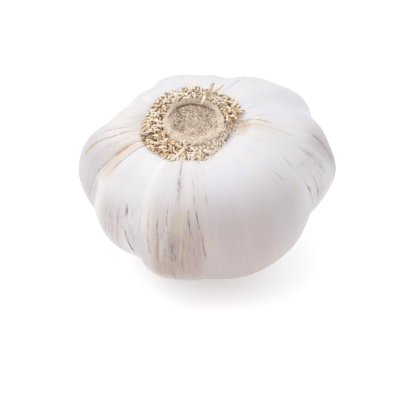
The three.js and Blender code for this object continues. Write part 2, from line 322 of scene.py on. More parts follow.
# Marks on the skin: half width in degrees, strength and colour, then the points of a path. Each point has its
# azimuth in degrees and its place along the outline, from 0 at the root crown to 1 at the neck.
# ASH marks are grey streaks, and along the folds they are painted crease shade. UMBER marks are dark streaks,
# and in the slit painted shade. CHALK is a white fleck, partly the torn paper's own white, partly painted
# highlight.
TAN, BROWN, UMBER = rgb(206, 176, 146), rgb(158, 120, 96), rgb(104, 80, 72)
MAUVE, OLIVE, SLATE = rgb(168, 140, 138), rgb(206, 196, 152), rgb(62, 56, 60)
RUST, ASH, CHALK = rgb(190, 138, 106), rgb(150, 140, 140), rgb(248, 247, 249)
MARKS = [
    # left clove
    (1.2, 0.35, TAN, (171, 0.1), (172, 0.22)),
    (1, 0.3, TAN, (177, 0.09), (180, 0.2), (178, 0.32)),
    (0.8, 0.5, ASH, (180, 0.1), (183, 0.19), (180, 0.27), (179, 0.32)),
    (0.8, 0.8, BROWN, (186, 0.08), (189, 0.17), (188, 0.24), (184, 0.31), (181, 0.42)),
    (2.2, 0.3, OLIVE, (185, 0.28), (182, 0.38)),
    (0.8, 0.4, ASH, (197, 0.16), (196, 0.22), (193, 0.29)),
    (0.8, 0.55, BROWN, (203, 0.1), (204.5, 0.18), (204, 0.24), (202.5, 0.28)),
    # painted crease shade along the fold
    (0.8, 0.75, ASH, (203, 0.25), (202, 0.29), (198, 0.36), (195, 0.45), (192, 0.5)),
    (2, 0.6, RUST, (204.5, 0.19), (204, 0.24), (202.5, 0.28)),
    (0.7, 1, UMBER, (213, 0.07), (213, 0.24), (211, 0.31), (209.5, 0.335)),
    # lobe under the slit
    (0.8, 0.5, ASH, (220.8, 0.375), (220.6, 0.44), (219.8, 0.5)),
    (0.8, 0.35, MAUVE, (223, 0.39), (223.4, 0.437), (222.6, 0.5)),
    (1.4, 0.38, MAUVE, (223.8, 0.37), (225.6, 0.444), (224.2, 0.53)),
    (0.9, 0.5, MAUVE, (228, 0.36), (228.8, 0.457), (226.4, 0.55)),
    (1.2, 0.3, TAN, (227.6, 0.42), (225.8, 0.53)),
    # the slit: a dark line of painted shade in its gap, a white fleck on its torn edge that is partly painted
    # highlight, and a grey strip of painted crease shade along the fold below it
    (0.42, 1, UMBER, (232.5, 0.347), (233.2, 0.367), (233.7, 0.381), (233.8, 0.395)),
    (0.45, 1, CHALK, (234.2, 0.358), (234.7, 0.384)),
    (0.5, 0.45, ASH, (233.5, 0.385), (234.8, 0.411), (236.6, 0.425), (238, 0.45), (238.6, 0.48)),
    (0.34, 0.95, UMBER, (232.6, 0.425), (234.2, 0.447), (235.6, 0.475)),
    # front, where the skin is stained
    (0.8, 0.35, MAUVE, (240.5, 0.33), (244, 0.42)),
    (0.7, 0.55, BROWN, (246.5, 0.31), (249, 0.38), (250.5, 0.44)),
    (0.8, 0.5, UMBER, (250, 0.4), (250.8, 0.45)),
    (0.45, 0.95, UMBER, (252.6, 0.325), (253.6, 0.355), (254.4, 0.382), (254.9, 0.42)),
    (0.7, 0.7, BROWN, (254.6, 0.4), (254.9, 0.43), (255.4, 0.475)),
    (0.45, 0.65, UMBER, (257.6, 0.285), (257.6, 0.327), (259.2, 0.365), (259.9, 0.4)),
    (0.4, 0.45, BROWN, (258.6, 0.28), (260.2, 0.36)),
    (0.7, 0.8, UMBER, (261.2, 0.39), (261.3, 0.46)),
    (1.1, 0.65, MAUVE, (261, 0.08), (261.5, 0.19), (262.5, 0.26), (263.3, 0.32)),
    (0.5, 0.4, UMBER, (261.2, 0.14), (262, 0.25)),
    (2.4, 0.6, MAUVE, (261.8, 0.2), (262.6, 0.27)),
    (2.6, 0.7, OLIVE, (264.5, 0.3), (264, 0.34), (264.2, 0.38)),
    (0.6, 0.6, UMBER, (262.5, 0.42), (263.2, 0.46)),
    (1.4, 0.5, OLIVE, (265.5, 0.39), (266, 0.44)),
    (0.5, 0.7, UMBER, (266.6, 0.385), (266.7, 0.415)),
    (1.3, 0.6, MAUVE, (268.7, 0.3), (268.7, 0.35)),
    (0.5, 0.85, UMBER, (268.6, 0.325), (269.4, 0.351), (269.7, 0.367), (271.2, 0.388)),
    (0.5, 0.65, UMBER, (269, 0.395), (269.3, 0.425)),
    (0.5, 0.6, UMBER, (271, 0.405), (271.3, 0.44)),
    (0.45, 0.6, ASH, (270.8, 0.2), (272, 0.294), (272.2, 0.31)),
    (0.42, 1, UMBER, (272.2, 0.3), (272.8, 0.322), (273.9, 0.362)),
    (0.65, 0.85, BROWN, (274, 0.355), (274.8, 0.375), (275.8, 0.416), (276.6, 0.46)),
    (0.8, 0.45, ASH, (278.2, 0.22), (279, 0.32)),
    (1.6, 0.4, TAN, (278.5, 0.31), (279.5, 0.43)),
    # right clove
    (0.9, 0.85, BROWN, (11, 0.09), (7, 0.165), (4.6, 0.186), (2.4, 0.22)),
    (0.8, 0.35, TAN, (6, 0.1), (3, 0.17), (1, 0.26)),
    (1, 0.45, TAN, (1, 0.12), (-1, 0.185), (-3.6, 0.24), (-3, 0.28)),
    # the grey ASH strips along the folds here and below are painted crease shade
    (2.2, 0.85, ASH, (4.8, 0.315), (2.8, 0.341), (0.6, 0.364), (-0.2, 0.38), (-1.8, 0.41)),
    (0.6, 0.8, UMBER, (4.7, 0.318), (3.2, 0.338)),
    (2.4, 0.36, ASH, (-9, 0.28), (-9.2, 0.32), (-9.5, 0.356), (-10, 0.42)),
    (0.6, 0.25, BROWN, (-9.2, 0.3), (-9.4, 0.335)),
    (0.45, 0.55, ASH, (-15.6, 0.34), (-15.2, 0.393), (-14.6, 0.44), (-13.4, 0.49)),
    (0.45, 0.65, UMBER, (-14.8, 0.42), (-14.4, 0.455)),
    (0.6, 0.55, ASH, (-21, 0.325), (-21.1, 0.36), (-21, 0.4)),
    (0.6, 1, UMBER, (-21.1, 0.385), (-20.6, 0.413), (-19.6, 0.46)),
    (0.5, 0.45, ASH, (-34.8, 0.265), (-34, 0.32)),
    (0.5, 0.4, ASH, (-20.5, 0.285), (-21, 0.325)),
    (1.6, 0.35, OLIVE, (-29, 0.32), (-36, 0.4)),
    # back and underside
    (0.5, 0.45, UMBER, (59, 0.12), (56.6, 0.19), (56, 0.26)),
    (0.5, 0.2, UMBER, (97, 0.18), (97, 0.27)),
    (1.1, 0.4, TAN, (40, 0.36), (42, 0.62)),
    (0.8, 0.5, BROWN, (33, 0.34), (31, 0.66)),
    (1, 0.45, TAN, (78, 0.34), (80, 0.62)),
    (0.8, 0.4, BROWN, (92, 0.36), (91, 0.7)),
    (1.2, 0.45, TAN, (118, 0.34), (114, 0.66)),
    (0.8, 0.5, BROWN, (124, 0.38), (121, 0.66)),
    (1, 0.4, TAN, (141, 0.36), (144, 0.6)),
    (1, 0.55, BROWN, (262, 0.46), (262, 0.62)),
    (0.9, 0.25, MAUVE, (310, 0.44), (309, 0.66)),
    (1.1, 1, SLATE, (338.9, 0.375), (339.4, 0.445)),
    (0.8, 0.25, MAUVE, (322, 0.46), (320, 0.7)),
]

# Broad washes of colour: middle and half width in degrees, first and last along the outline, strength,
# how streaky it is, and its display colour. Some are stains and tints of the skin; others, marked below, are
# painted shade on the lower right, at the limbs and in the creases, and one is painted light beside a crease.
WASHES_AND_SHADING = [
    (260, 28, 0.22, 0.6, 0.2, 0.3, (212, 194, 182)),
    (261, 26, 0.06, 0.44, 0.16, 0.9, (206, 186, 172)),
    (262, 26, 0.4, 0.8, 0.44, 0.1, (198, 184, 182)),
    (263, 19, 0.26, 0.58, 0.6, 0.4, (196, 175, 162)),
    (265, 17, 0.33, 0.57, 0.55, 0.7, (160, 138, 127)),
    (268, 9, 0.35, 0.62, 0.45, 0.4, (178, 160, 154)),
    (245, 7, 0.37, 0.62, 0.5, 0.3, (194, 182, 180)),
    (270.5, 7, 0.31, 0.54, 0.55, 0.3, (172, 134, 112)),
    # painted shade in the valley between the front lobes
    (241, 8, 0.36, 0.58, 0.4, 0.2, (196, 184, 180)),
    # painted light: a lighter patch on the lobe above the front crease
    (237, 12, 0.14, 0.36, 0.55, 0, (245, 240, 243)),
    (236, 7, 0.34, 0.44, 0.3, 0, (234, 222, 220)),
    (1, 10, 0.05, 0.22, 0.28, 0.5, (228, 210, 180)),
    (188, 13, 0.05, 0.2, 0.22, 0.4, (228, 208, 180)),
    (206, 8, 0.05, 0.16, 0.45, 0.3, (224, 202, 170)),
    # painted shade on the lower right, where the skin turns down from the light; the second is also a tan
    # tone of the skin
    (302, 46, 0.2, 0.76, 0.74, 0.1, (190, 180, 181)),
    (292, 24, 0.26, 0.72, 0.5, 0.3, (190, 172, 164)),
    (190, 24, 0.08, 0.42, 0.2, 0.4, (222, 200, 176)),
    (206.5, 9, 0.12, 0.37, 0.65, 0.3, (220, 199, 179)),
    # painted shade in the crease of the left clove
    (203, 7, 0.36, 0.52, 0.55, 0, (184, 178, 181)),
    (198, 9, 0.18, 0.44, 0.35, 0.3, (204, 190, 186)),
    # painted shade on the lower side and at the limb of the left clove
    (184, 18, 0.25, 0.64, 0.5, 0.2, (186, 176, 182)),
    (185, 8, 0.38, 0.6, 0.4, 0, (200, 198, 204)),
    (197, 8, 0.38, 0.62, 0.4, 0.2, (186, 176, 180)),
    (357, 16, 0.08, 0.4, 0.25, 0.6, (212, 204, 188)),
    # painted shade on the right clove towards its limb
    (3, 10, 0.28, 0.5, 0.55, 0.2, (184, 176, 175)),
    (13, 7, 0.33, 0.5, 0.5, 0.1, (190, 187, 187)),
    (38, 22, 0.08, 0.5, 0.45, 0.1, (222, 222, 229)),
    (224, 13, 0.32, 0.62, 0.5, 0.3, (188, 175, 174)),
    # painted shade in the crease between the front lobes
    (237, 3, 0.4, 0.56, 0.4, 0, (200, 200, 203)),
    # painted shade on the lower side and at the limb of the right clove
    (352, 18, 0.26, 0.54, 0.25, 0.2, (176, 166, 166)),
    (342, 16, 0.38, 0.64, 0.4, 0.2, (178, 170, 172)),
    (6, 14, 0.28, 0.56, 0.4, 0.2, (180, 170, 168)),
    (120, 30, 0.4, 0.8, 0.3, 0.6, (196, 176, 160)),
    (40, 26, 0.45, 0.85, 0.35, 0.6, (190, 166, 156)),
]

# Folds pressed into the skin: half width in degrees, depth in millimetres, then a path like a mark's.
FOLDS = [
    (2.6, 0.1, (186, 0.08), (189, 0.17), (188, 0.24), (184, 0.31), (181, 0.42)),
    (3, 0.2, (203, 0.1), (204.5, 0.18), (204, 0.24), (202, 0.29), (198, 0.36), (195, 0.45), (192, 0.5)),
    (2.4, 0.16, (213, 0.07), (213, 0.24), (211, 0.31), (209, 0.36)),
    (2, 0.1, (261, 0.08), (262, 0.28)),
    (2.4, 0.1, (1, 0.1), (-3.6, 0.24), (-6, 0.38)),
    (1.2, 0.1, (57, 0.1), (56, 0.3)),
    (2.2, 0.18, (4.8, 0.29), (2.4, 0.35), (-3, 0.44)),
    (2, 0.14, (-10, 0.27), (-8.8, 0.37), (-9.5, 0.45)),
    (1.8, 0.14, (-21, 0.3), (-20.6, 0.41), (-18, 0.52)),
    (1.6, 0.1, (-15.4, 0.33), (-14, 0.5)),
    (1.8, 0.28, (233.4, 0.37), (234.8, 0.411), (237.8, 0.443), (240, 0.5), (242, 0.62)),
    (2.4, 0.25, (203.4, 0.36), (201.6, 0.41), (204, 0.47)),
]

# Gentle swells and hollows: middle and half width in degrees, place and half span along the outline, and
# height in millimetres.
SWELLS = [
    (143, 16, 0.29, 0.16, -1),
    (163, 12, 0.3, 0.14, -0.9),
    (60, 12, 0.28, 0.16, 0.6),
    (47, 12, 0.35, 0.16, -0.8),
    (20, 10, 0.37, 0.16, 0.6),
    (353, 12, 0.5, 0.12, -0.7),
]


# Noise over the skin, finer across the fibres than along them.
SKIN_NOISE = [
    (0.16, (0.11, 0.11, 0.05), 0),
    (0.04, (0.35, 0.35, 0.04), 7),
    (0.018, (1.1, 1.1, 0.06), 31),
]
CROWN_NOISE = [(0.07, (0.9, 0.9, 0.1), 53)]
NECK_NOISE = [(0.16, (0.7, 0.7, 0.04), 71)]


def turn_between(degrees, other):
    """Signed turn in degrees from other to degrees, the short way round."""
    return (degrees - other + 180) % 360 - 180


def line_at(path, along):
    """Azimuth of a path at places along the outline."""
    azimuth, place = np.transpose(path)
    return np.interp(along, place, azimuth)


def end_fade(path, along, share):
    """0 at both ends of a path and beyond, rising to 1 over a share of its length."""
    first, last = path[0][1], path[-1][1]
    fade = share * (last - first)
    return stretch(along, (first, first + fade), (last - fade, last))


def hill(distance, half):
    """1 where a distance is 0, falling to 0 where it is half or more."""
    return smoothstep(np.clip(1 - np.abs(distance) / half, 0, 1), 0, 1)


def strip(degrees, along, path, width):
    """1 along a path over the skin, falling to 0 at its edges and its ends."""
    return hill(turn_between(degrees, line_at(path, along)), width) * end_fade(path, along, 0.25)


def grain_of(degrees, along):
    """Coordinates for patterns that follow the skin's fibres: millimetres round the waist and along it."""
    angle = np.radians(degrees)
    return polar(WAIST_RADIUS, angle, along * OUTLINE_LENGTH)


def skin_relief(degrees, along):
    """Height of the fine relief above the smooth skin, in millimetres."""
    grain = grain_of(degrees, along)
    relief = rough(grain, SKIN_NOISE)
    relief += (1 - smoothstep(along, 0.08, 0.2)) * rough(grain, CROWN_NOISE)
    relief += smoothstep(along, 0.6, 0.85) * rough(grain, NECK_NOISE)
    for middle, half, place, span, height in SWELLS:
        relief += height * hill(turn_between(degrees, middle), half) * hill(along - place, span)
    for width, depth, *path in FOLDS:
        relief -= depth * strip(degrees, along, path, width)
    return relief


def close_together(mark, other):
    """Whether two marks come too close for both to be in one layer."""
    (width, _, _, *path), (other_width, _, _, *other_path) = mark, other
    first, last = max(path[0][1], other_path[0][1]), min(path[-1][1], other_path[-1][1])
    if first > last:
        return False
    along = np.linspace(first, last, 20)
    apart = np.abs(turn_between(line_at(path, along), line_at(other_path, along)))
    return apart.min() < width + other_width + MARK_MARGIN


def layers_of_marks():
    layers = []
    for mark in MARKS:
        free = [layer for layer in layers if not any(close_together(mark, other) for other in layer)]
        if free:
            free[0].append(mark)
        else:
            layers.append([mark])
    return layers


MARK_LAYERS = layers_of_marks()


def mark_values(degrees, along):
    """For each layer: how far a point is from its nearest mark, in half widths, and that mark's look."""
    wandering = degrees + 0.4 * noise(grain_of(degrees, along) * (0.5, 0.5, 0.25))
    values = {}
    for number, layer in enumerate(MARK_LAYERS):
        nearest = np.full(degrees.shape, 180.0)
        offset, strength = np.zeros((2, *degrees.shape))
        colour = np.zeros((*degrees.shape, 3))
        for width, force, tint, *path in layer:
            apart = turn_between(wandering, line_at(path, along))
            inside = (np.abs(apart) < np.abs(nearest)) & (along >= path[0][1]) & (along <= path[-1][1])
            window = smoothstep(np.abs(apart), width + 1.8, width + 1.0)
            nearest = np.where(inside, apart, nearest)
            offset = np.where(inside, apart / width, offset)
            strength = np.where(inside, force * window * end_fade(path, along, 0.3), strength)
            colour = np.where(inside[..., None], tint[:3], colour)
        values[f"mark_offset_{number}"] = offset
        values[f"mark_strength_{number}"] = strength
        values[f"mark_colour_{number}"] = colour
    return values


def wash_and_shading_values(degrees, along):
    """Stains and painted shade laid over one another, where the fibres take up none and where they take it
    all up.
    """
    values = {}
    for kind, streak in (("faint", 0), ("full", 1)):
        colour, amount = np.zeros((*degrees.shape, 3)), np.zeros(degrees.shape)
        for middle, half, first, last, strength, streakiness, tint in WASHES_AND_SHADING:
            across = smoothstep(np.abs(turn_between(degrees, middle)), half, 0.35 * half)
            down = end_fade(((0, first), (0, last)), along, 0.28)
            mask = strength * across * down * (1 - streakiness * (1 - streak))
            colour = colour * (1 - mask[..., None]) + np.array(rgb(*tint)[:3]) * mask[..., None]
            amount = amount * (1 - mask) + mask
        values |= {f"wash_{kind}": colour, f"amount_{kind}": amount}
    values["rays"] = 0.1 + 0.45 * smoothstep(np.abs(np.sin(np.radians(degrees - 5))), 0.6, 0.2)
    across = smoothstep(np.abs(turn_between(degrees, STAIN_AZIMUTH)), 16, 7)
    values["stain"] = across * stretch(along, (0.3, 0.4), (0.44, 0.56))
    return values


def skin_values(degrees, along):
    """What the skin's material reads at each point."""
    plain = {"grain": grain_of(degrees, along), "along": along}
    return plain | mark_values(degrees, along) | wash_and_shading_values(degrees, along)


def skin_points(degrees, along, lift=0.0, relief=1.0):
    """Points on the finished skin in metres, raised off it by a lift in millimetres."""
    across = skin_form(degrees + 0.5, along) - skin_form(degrees - 0.5, along)
    down = skin_form(degrees, along + 0.002) - skin_form(degrees, along - 0.002)
    outward = np.cross(down, across)
    outward /= np.linalg.norm(outward, axis=-1, keepdims=True)
    height = skin_relief(degrees, along) * relief + lift
    return placed(skin_form(degrees, along) + outward * height[..., None])


def cut_along(degrees):
    """Where along the outline each azimuth meets the level cut."""
    low, high = np.full_like(degrees, 0.5), np.full_like(degrees, 1.0)
    for _ in range(30):
        middle = (low + high) / 2
        above = leaned(skin_form(degrees, middle))[..., 2] > -REST_DEPTH
        low, high = np.where(above, middle, low), np.where(above, high, middle)
    return low


def make_skin():
    degrees = np.arange(SKIN_AROUND) * 360 / SKIN_AROUND
    share = np.linspace(0, 1, SKIN_ROWS)[:, None]
    along = share * cut_along(degrees)
    degrees_grid = np.broadcast_to(degrees, along.shape)
    outer = skin_points(degrees_grid, along, relief=1 - smoothstep(share, 0.95, 1))
    outer[..., 2] = np.maximum(outer[..., 2], 0)
    outer[-1, :, 2] = 0

    # The hollow's floor under the basal plate, drawn in to the axis.
    floor_middle = placed(np.array([0, 0, OUTLINE[0, 1]]))

    # The cut: papery layers round the stalk, with grooves between them.
    axis = leaned(np.array([0, 0, -OUTLINE_LENGTH]))
    axis_at_cut = axis * (-REST_DEPTH / axis[2])
    stalk = (axis_at_cut + SHIFT) * MM
    inward = np.linspace(0, 1, NECK_ROWS + 2)[1:-1, None]
    layers = outer[-1] + (stalk - outer[-1]) * inward[..., None]
    turn = np.radians(degrees)
    wavy = inward * 4.2 + 0.12 * np.sin(5 * turn) + 0.07 * np.sin(11 * turn + 1)
    ripple = (0.5 + 0.5 * np.sin(2 * math.pi * wavy)) ** 0.7
    layers[..., 2] = 1.1 * MM * ripple * stretch(inward, (0.0, 0.1), (0.66, 0.74))
    points = np.concatenate([outer.reshape(-1, 3), layers.reshape(-1, 3), [floor_middle, stalk]])

    # Values for the points of the skin, then the cut, then the two middles. The fibres carry on over the cut.
    cut = np.repeat(inward, SKIN_AROUND)
    azimuth = np.concatenate([degrees_grid.ravel(), np.tile(degrees, NECK_ROWS), [0, 0]])
    place = np.append(along, np.ones(cut.size + 2))
    values = skin_values(azimuth, place)
    values["grain"] = grain_of(azimuth, np.concatenate([along.ravel(), 1 - cut * 0.2, [0.0, 0.8]]))
    values["cut"] = np.concatenate([np.zeros(along.size), cut, [0, 1]])
    values["hollow"] = 1 - smoothstep(place, 0.0, HOLLOW_EDGE)
    return make_mesh("skin", points, closed_faces(SKIN_ROWS + NECK_ROWS, SKIN_AROUND), values)


# Thin pieces of loose skin: azimuth and place of the fixed edge's two ends, then of the free edge's two ends,
# how far the free edge stands off in millimetres, and how ragged it is in degrees.
FLAKES = {
    "loose_skin_slit": ((228.5, 0.345), (229.5, 0.4), (232.3, 0.355), (232.8, 0.398), 0.3, 0.4),
    "loose_skin_tear": ((236.4, 0.362), (236.2, 0.392), (234, 0.366), (234.1, 0.388), 0.3, 0.5),
    "loose_skin_fold": ((230.5, 0.428), (231.5, 0.53), (232.9, 0.43), (236.6, 0.525), 0.22, 0.2),
    "loose_skin_right": ((352, 0.265), (349, 0.325), (341, 0.262), (337.5, 0.318), 0, 1.2),
    "loose_skin_rear": ((104, 0.34), (101, 0.64), (109, 0.35), (106.5, 0.62), 0.1, 1.2),
    "loose_skin_rear_low": ((31, 0.56), (27, 0.76), (37, 0.6), (33, 0.75), 0.1, 1.3),
}
FLAKE_ROWS = 90
FLAKE_COLUMNS = 28
FLAKE_THICKNESS = 0.07
RAGGED_NOISE = [(1, 1, 0), (0.5, 3.3, 40)]


def make_flake(name, fixed_top, fixed_end, free_top, free_end, stand, ragged):
    down = np.linspace(0, 1, FLAKE_ROWS)
    across = np.linspace(0, 1, FLAKE_COLUMNS)
    fixed = np.array(fixed_top) + (np.array(fixed_end) - fixed_top) * down[:, None]
    free = np.array(free_top) + (np.array(free_end) - free_top) * down[:, None]
    spot = np.stack([down * 9, np.full(FLAKE_ROWS, fixed_top[0]), np.zeros(FLAKE_ROWS)], -1)
    free[:, 0] += ragged * rough(spot, RAGGED_NOISE) * stretch(down, (0, 0.06), (0.94, 1))
    degrees, along = np.moveaxis(fixed[:, None] + (free - fixed)[:, None] * across[:, None], -1, 0)
    ends = stretch(down, (0, 0.25), (0.8, 1))[:, None]
    wave = 0.7 + 0.5 * noise(spot * 0.5 + 11)[:, None]
    lift = 0.03 + stand * across ** 1.8 * ends * wave
    upper = skin_points(degrees, along, lift + FLAKE_THICKNESS * (1 - 0.8 * across ** 2))
    lower = skin_points(degrees, along, lift - 0.5 * FLAKE_THICKNESS)

    index = np.arange(degrees.size).reshape(degrees.shape)
    quads = np.stack([index[:-1, :-1], index[1:, :-1], index[1:, 1:], index[:-1, 1:]], -1).reshape(-1, 4)
    border = np.concatenate([index[0, :-1], index[:-1, -1], index[-1, :0:-1], index[:0:-1, 0]])
    ahead = np.roll(border, -1)
    rim = np.stack([border, ahead, ahead + index.size, border + index.size], -1)
    faces = np.concatenate([quads, quads[:, ::-1] + index.size, rim]).tolist()
    if free_top[0] < fixed_top[0]:
        faces = [face[::-1] for face in faces]
    points = np.concatenate([upper.reshape(-1, 3), lower.reshape(-1, 3)])
    return make_mesh(name, points, faces, skin_values(np.tile(degrees.ravel(), 2), np.tile(along.ravel(), 2)))


def skin_material(name, subsurface):
    g = material_graph(name)
    grain = g.attribute("grain", "Vector")
    along = g.attribute("along")
    fibre = g.noise(grain, (1.3, 1.3, 0.07), 3.0, 0.6)
    fine_fibre = g.noise(grain, (4.0, 4.0, 0.16), 2.0)
    streaks = g.noise(grain, (0.42, 0.42, 0.045), 4.0, 0.68)
    broad = g.noise(grain, (0.16, 0.16, 0.05), 2.0)
    dashes = g.noise(grain, (0.9, 0.9, 0.45), 3.0, 0.7)

    # Clean skin, from cool to warm white, with faint veins.
    colour = g.mix(g.ramp(broad, 0.35, 0.65), rgb(226, 225, 229), rgb(230, 227, 225))
    colour = g.mix(g.ramp(fibre, 0.5, 0.7, 0, 0.16), colour, rgb(205, 198, 196))
    colour = g.mix(g.ramp(fine_fibre, 0.52, 0.7, 0, 0.14), colour, rgb(196, 188, 184))

    # Washes: the stained front, the tan fans left and right of the crown, painted shade on the lower right,
    # at the limbs and in the creases, and painted light beside the front crease.
    streaky = g.ramp(streaks, 0.36, 0.6)
    clean = g.math("SUBTRACT", 1.0, g.mix(streaky, g.attribute("amount_faint"), g.attribute("amount_full")))
    wash = g.mix(streaky, g.attribute("wash_faint", "Vector"), g.attribute("wash_full", "Vector"))
    colour = g.node("ShaderNodeVectorMath", colour, clean, wash, operation="MULTIPLY_ADD")

    # Dark specks and short threads in the stain.
    threads = g.ramp(g.noise(grain, (2.6, 2.6, 0.5), 3.0, 0.75), 0.53, 0.66, 0, 0.42)
    colour = g.mix(g.times(threads, g.attribute("stain")), colour, rgb(116, 90, 82))

    # Fine tan rays that leave the root crown, most of them at the left and right.
    rays = g.ramp(g.noise(grain, (1.1, 1.1, 0.09), 3.0, 0.7), 0.5, 0.62)
    rays = g.times(rays, g.ramp(along, 0.26, 0.1))
    colour = g.mix(g.times(rays, g.attribute("rays")), colour, rgb(212, 188, 158))

    # Single marks, with ragged edges and gaps.
    broken = g.ramp(dashes, 0.38, 0.58, 0.15, 1.0)
    ragged = g.math("MULTIPLY_ADD", g.noise(grain, (3.0, 3.0, 1.3), 2.0), 1.8, -0.9)
    for number in range(len(MARK_LAYERS)):
        offset = g.math("ADD", g.attribute(f"mark_offset_{number}"), ragged)
        across = g.ramp(g.math("ABSOLUTE", offset), 1.2, 0.0)
        strength = g.times(across, g.attribute(f"mark_strength_{number}"))
        mark = g.attribute(f"mark_colour_{number}", "Vector")
        colour = g.mix(g.times(strength, broken), colour, mark)

    # The neck dries to a streaky tan.
    dried = g.times(g.ramp(along, 0.72, 0.98), g.math("MULTIPLY_ADD", streaky, 0.7, 0.3))
    colour = g.mix(g.times(dried, 0.8), colour, rgb(206, 180, 148))

    # The cut neck: the edges of many dry papers round a browner stalk, and the shaded skin under the roots.
    cut = g.attribute("cut")
    edges = g.math("SINE", g.math("MULTIPLY_ADD", cut, 78.0, g.times(fibre, 6.0)))
    papers = g.mix(g.ramp(edges, -0.2, 0.8), rgb(214, 196, 168), rgb(160, 130, 94))
    colour = g.mix(g.ramp(cut, 0.0, 0.06), colour, papers)
    stalk = g.mix(g.ramp(dashes, 0.4, 0.6), rgb(178, 146, 108), rgb(126, 96, 66))
    colour = g.mix(g.ramp(cut, 0.68, 0.72), colour, stalk)
    colour = g.mix(g.ramp(cut, 0.93, 0.98), colour, rgb(104, 78, 54))
    colour = g.mix(g.attribute("hollow"), colour, rgb(120, 92, 66))

    normal = g.bump(fibre, 0.02 * MM, 0.6)
    normal = g.bump(fine_fibre, 0.012 * MM, 0.6, normal)
    roughness = g.ramp(broad, 0.3, 0.7, 0.36, 0.5)
    return g.finish(colour, roughness, normal, Subsurface_Weight=subsurface, Subsurface_Scale=2 * MM,
                    Specular_IOR_Level=0.45)


# ---- basal plate
PLATE_AROUND = 280
PLATE_ROWS = 110
PLATE_HALF = (7.4, 7.6)
PLATE_MIDDLE = (0.5, 0.35)
DISH_HALF = (5.6, 5.65)
DISH_MIDDLE = (0.4, 1.05)
DISH_FLOOR = 14.95
PLATE_UNDERSIDE = 13.5
DISH_DARK_SIDE = math.radians(168)
# place, height: place runs from 0 at the middle to 1 at the dish's edge and 2 at the plate's edge
PLATE_FRONT = np.array([
    (1.96, PLATE_UNDERSIDE), (2.0, 13.9), (1.95, 14.4), (1.8, 14.85), (1.55, 15.1), (1.25, 15.15),
    (1.0, 15.0), (0.9, 14.9), (0.6, 14.9), (0.0, DISH_FLOOR),
])
PLATE_BACK = np.array([
    (1.96, PLATE_UNDERSIDE), (2.0, 14.5), (1.95, 15.5), (1.75, 16.0), (1.5, 15.95), (1.25, 15.6),
    (1.0, 14.95), (0.9, 14.85), (0.6, 14.85), (0.0, DISH_FLOOR),
])
EDGE_NOISE = [(0.25, 2.2, (0, 0, 8)), (0.2, 9, 5), (0.12, 22, 9)]
GRIT_NOISE = [(0.2, 1.1, 0), (0.15, 2.6, 9), (0.07, 5.5, 17)]
CRAG_NOISE = [(0.3, 0.9, 41), (0.2, 1.8, 3), (0.1, 3.6, 29)]


def ellipse_reach(angle, half, middle):
    """How far an ellipse's edge is from the axis along each angle."""
    along_x, along_y = np.cos(angle) / half[0], np.sin(angle) / half[1]
    off_x, off_y = middle[0] / half[0], middle[1] / half[1]
    a = along_x ** 2 + along_y ** 2
    b = along_x * off_x + along_y * off_y
    return (b + np.sqrt(b ** 2 - a * (off_x ** 2 + off_y ** 2 - 1))) / a


def plate_reach(degrees):
    return ellipse_reach(np.radians(degrees), PLATE_HALF, PLATE_MIDDLE)


def make_plate():
    turn = np.arange(PLATE_AROUND) * 2 * math.pi / PLATE_AROUND
    share = np.linspace(0, 1, PLATE_ROWS + 1)[:-1, None]
    angle = np.broadcast_to(turn, (PLATE_ROWS, PLATE_AROUND))
    toward_back = smoothstep(np.sin(angle), 0.2, 1.0)[..., None]
    front = spline(PLATE_FRONT, np.broadcast_to(share, angle.shape))
    back = spline(PLATE_BACK, np.broadcast_to(share, angle.shape))
    place, height = np.moveaxis(front + (back - front) * toward_back, -1, 0)
    unit = polar(np.ones_like(angle), angle, 0.0)
    dish = ellipse_reach(angle, DISH_HALF, DISH_MIDDLE) * (1 + 0.05 * noise(unit * 2.5 + (0, 0, 3)))
    edge = ellipse_reach(angle, PLATE_HALF, PLATE_MIDDLE) + rough(unit, EDGE_NOISE)
    radius = np.minimum(place, 1) * dish + np.maximum(place - 1, 0) * (edge - dish)
    spot = polar(radius, angle, height)

    upper = smoothstep(height, 14.3, 14.7)
    swirl = polar(radius, 0.0, 0.0) + unit * 1.6
    arcs = 0.13 * noise(swirl * 2.3 + 23) * smoothstep(place, 1.15, 0.95)
    crags = rough(spot, CRAG_NOISE) * smoothstep(place, 1.15, 1.5)
    points = spot.copy()
    points[..., 2] += upper * (rough(spot, GRIT_NOISE) + arcs + crags)
    backward = smoothstep(np.sin(angle) - 0.25 * np.cos(angle), -0.9, 0.3)
    dark_side = smoothstep(np.cos(angle - DISH_DARK_SIDE), 0.3, 0.95)
    shade = 0.75 * backward * smoothstep(place, 0.15, 0.75)
    shade += dark_side * stretch(place, (0.15, 0.6), (0.8, 1.05))
    middle, under = np.array([0, 0, DISH_FLOOR]), np.array([0, 0, PLATE_UNDERSIDE])
    every = placed(np.concatenate([points.reshape(-1, 3), [middle, under]]))
    faces = [face[::-1] for face in grid_faces(PLATE_ROWS, PLATE_AROUND)]
    faces += fan_faces(angle.size - PLATE_AROUND, PLATE_AROUND, angle.size)
    faces += fan_faces(0, PLATE_AROUND, angle.size + 1, flip=True)
    values = {
        "spot": np.concatenate([spot.reshape(-1, 3), [middle, under]]),
        "place": np.append(place, [0, 2]),
        "swirl": np.concatenate([swirl.reshape(-1, 3), np.zeros((2, 3))]),
        "rear": np.append(toward_back, [0, 0]),
        "shade": np.append(shade, [0, 0]),
    }
    return make_mesh("basal_disc", every, faces, values)


